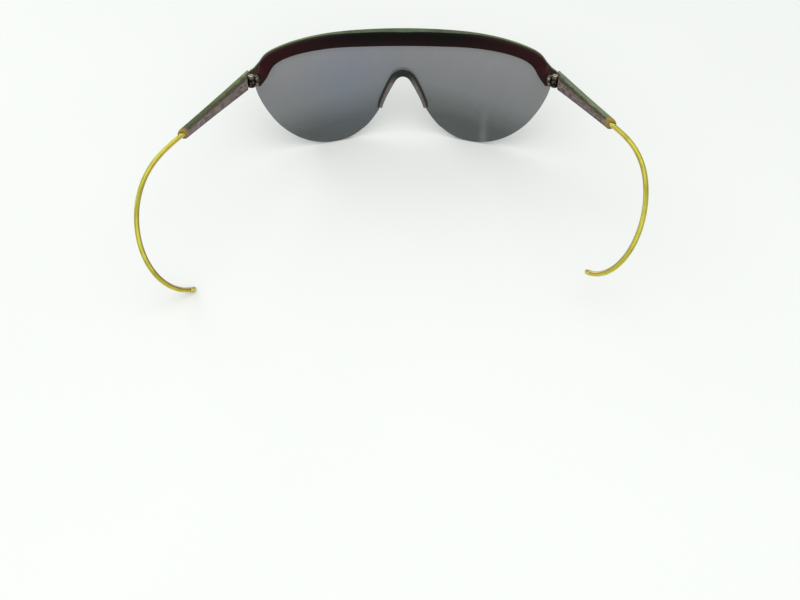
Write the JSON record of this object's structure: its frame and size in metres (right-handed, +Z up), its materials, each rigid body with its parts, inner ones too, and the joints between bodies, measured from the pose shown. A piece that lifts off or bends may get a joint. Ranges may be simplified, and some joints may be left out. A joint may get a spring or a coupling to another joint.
{
  "type": "glacier glasses",
  "caption": "Shield sunglasses with a smoke lens hung under a moulded brow bar, hinged flat temple bars and coiled cable ear hooks.",
  "frame": {"origin": "centre of the bounding box in plan, on the flat surface that the glasses stand on", "axes": "+X to the wearer's right, +Y the way the wearer looks, +Z up"},
  "size_m": [0.1966, 0.1232, 0.0614],
  "materials": {
    "brow_plastic": "satin moulded plastic, olive green outside and dark maroon brown inside",
    "smoke_lens": "polished smoke grey acrylic sheet",
    "bead_rubber": "soft black moulding, satin",
    "hinge_metal": "nickel plated, tarnished",
    "fastener_steel": "nickel plated, worn",
    "temple_plastic": "translucent smoke brown plastic, scuffed, greenish on its edges",
    "gold_metal": "gold plated, satin",
    "spring_wire": "drawn spring wire"
  },
  "bodies": {
    "front": {"brow_bar": "brow_plastic", "lens": "smoke_lens", "nose_bead": "bead_rubber", "hinge_front_leaf_left": "hinge_metal", "hinge_front_leaf_right": "hinge_metal", "hinge_screw_left": "fastener_steel", "hinge_screw_right": "fastener_steel", "front_rivet_left_1": "fastener_steel", "front_rivet_left_2": "fastener_steel", "front_rivet_right_1": "fastener_steel", "front_rivet_right_2": "fastener_steel"},
    "left_temple": {"hinge_temple_leaf_left": "hinge_metal", "temple_bar_left": "temple_plastic", "temple_pin_left_1": "fastener_steel", "temple_pin_left_2": "fastener_steel", "ferrule_left": "gold_metal", "cable_coil_left": "gold_metal", "cable_core_left": "spring_wire", "cable_tip_left": "gold_metal"},
    "right_temple": {"hinge_temple_leaf_right": "hinge_metal", "temple_bar_right": "temple_plastic", "temple_pin_right_1": "fastener_steel", "temple_pin_right_2": "fastener_steel", "ferrule_right": "gold_metal", "cable_coil_right": "gold_metal", "cable_core_right": "spring_wire", "cable_tip_right": "gold_metal"}
  },
  "joints": [
    {"name": "left_temple_fold", "type": "hinge", "parent": "front", "child": "left_temple", "pos_m": [-0.06033, 0.03375, 0.04319], "axis": [0, 0.2079, 0.9781], "range_deg": [0, 116]},
    {"name": "right_temple_fold", "type": "hinge", "parent": "front", "child": "right_temple", "pos_m": [0.07227, 0.03375, 0.04319], "axis": [0, -0.2079, -0.9781], "range_deg": [-8.2, 100]}
  ]
}
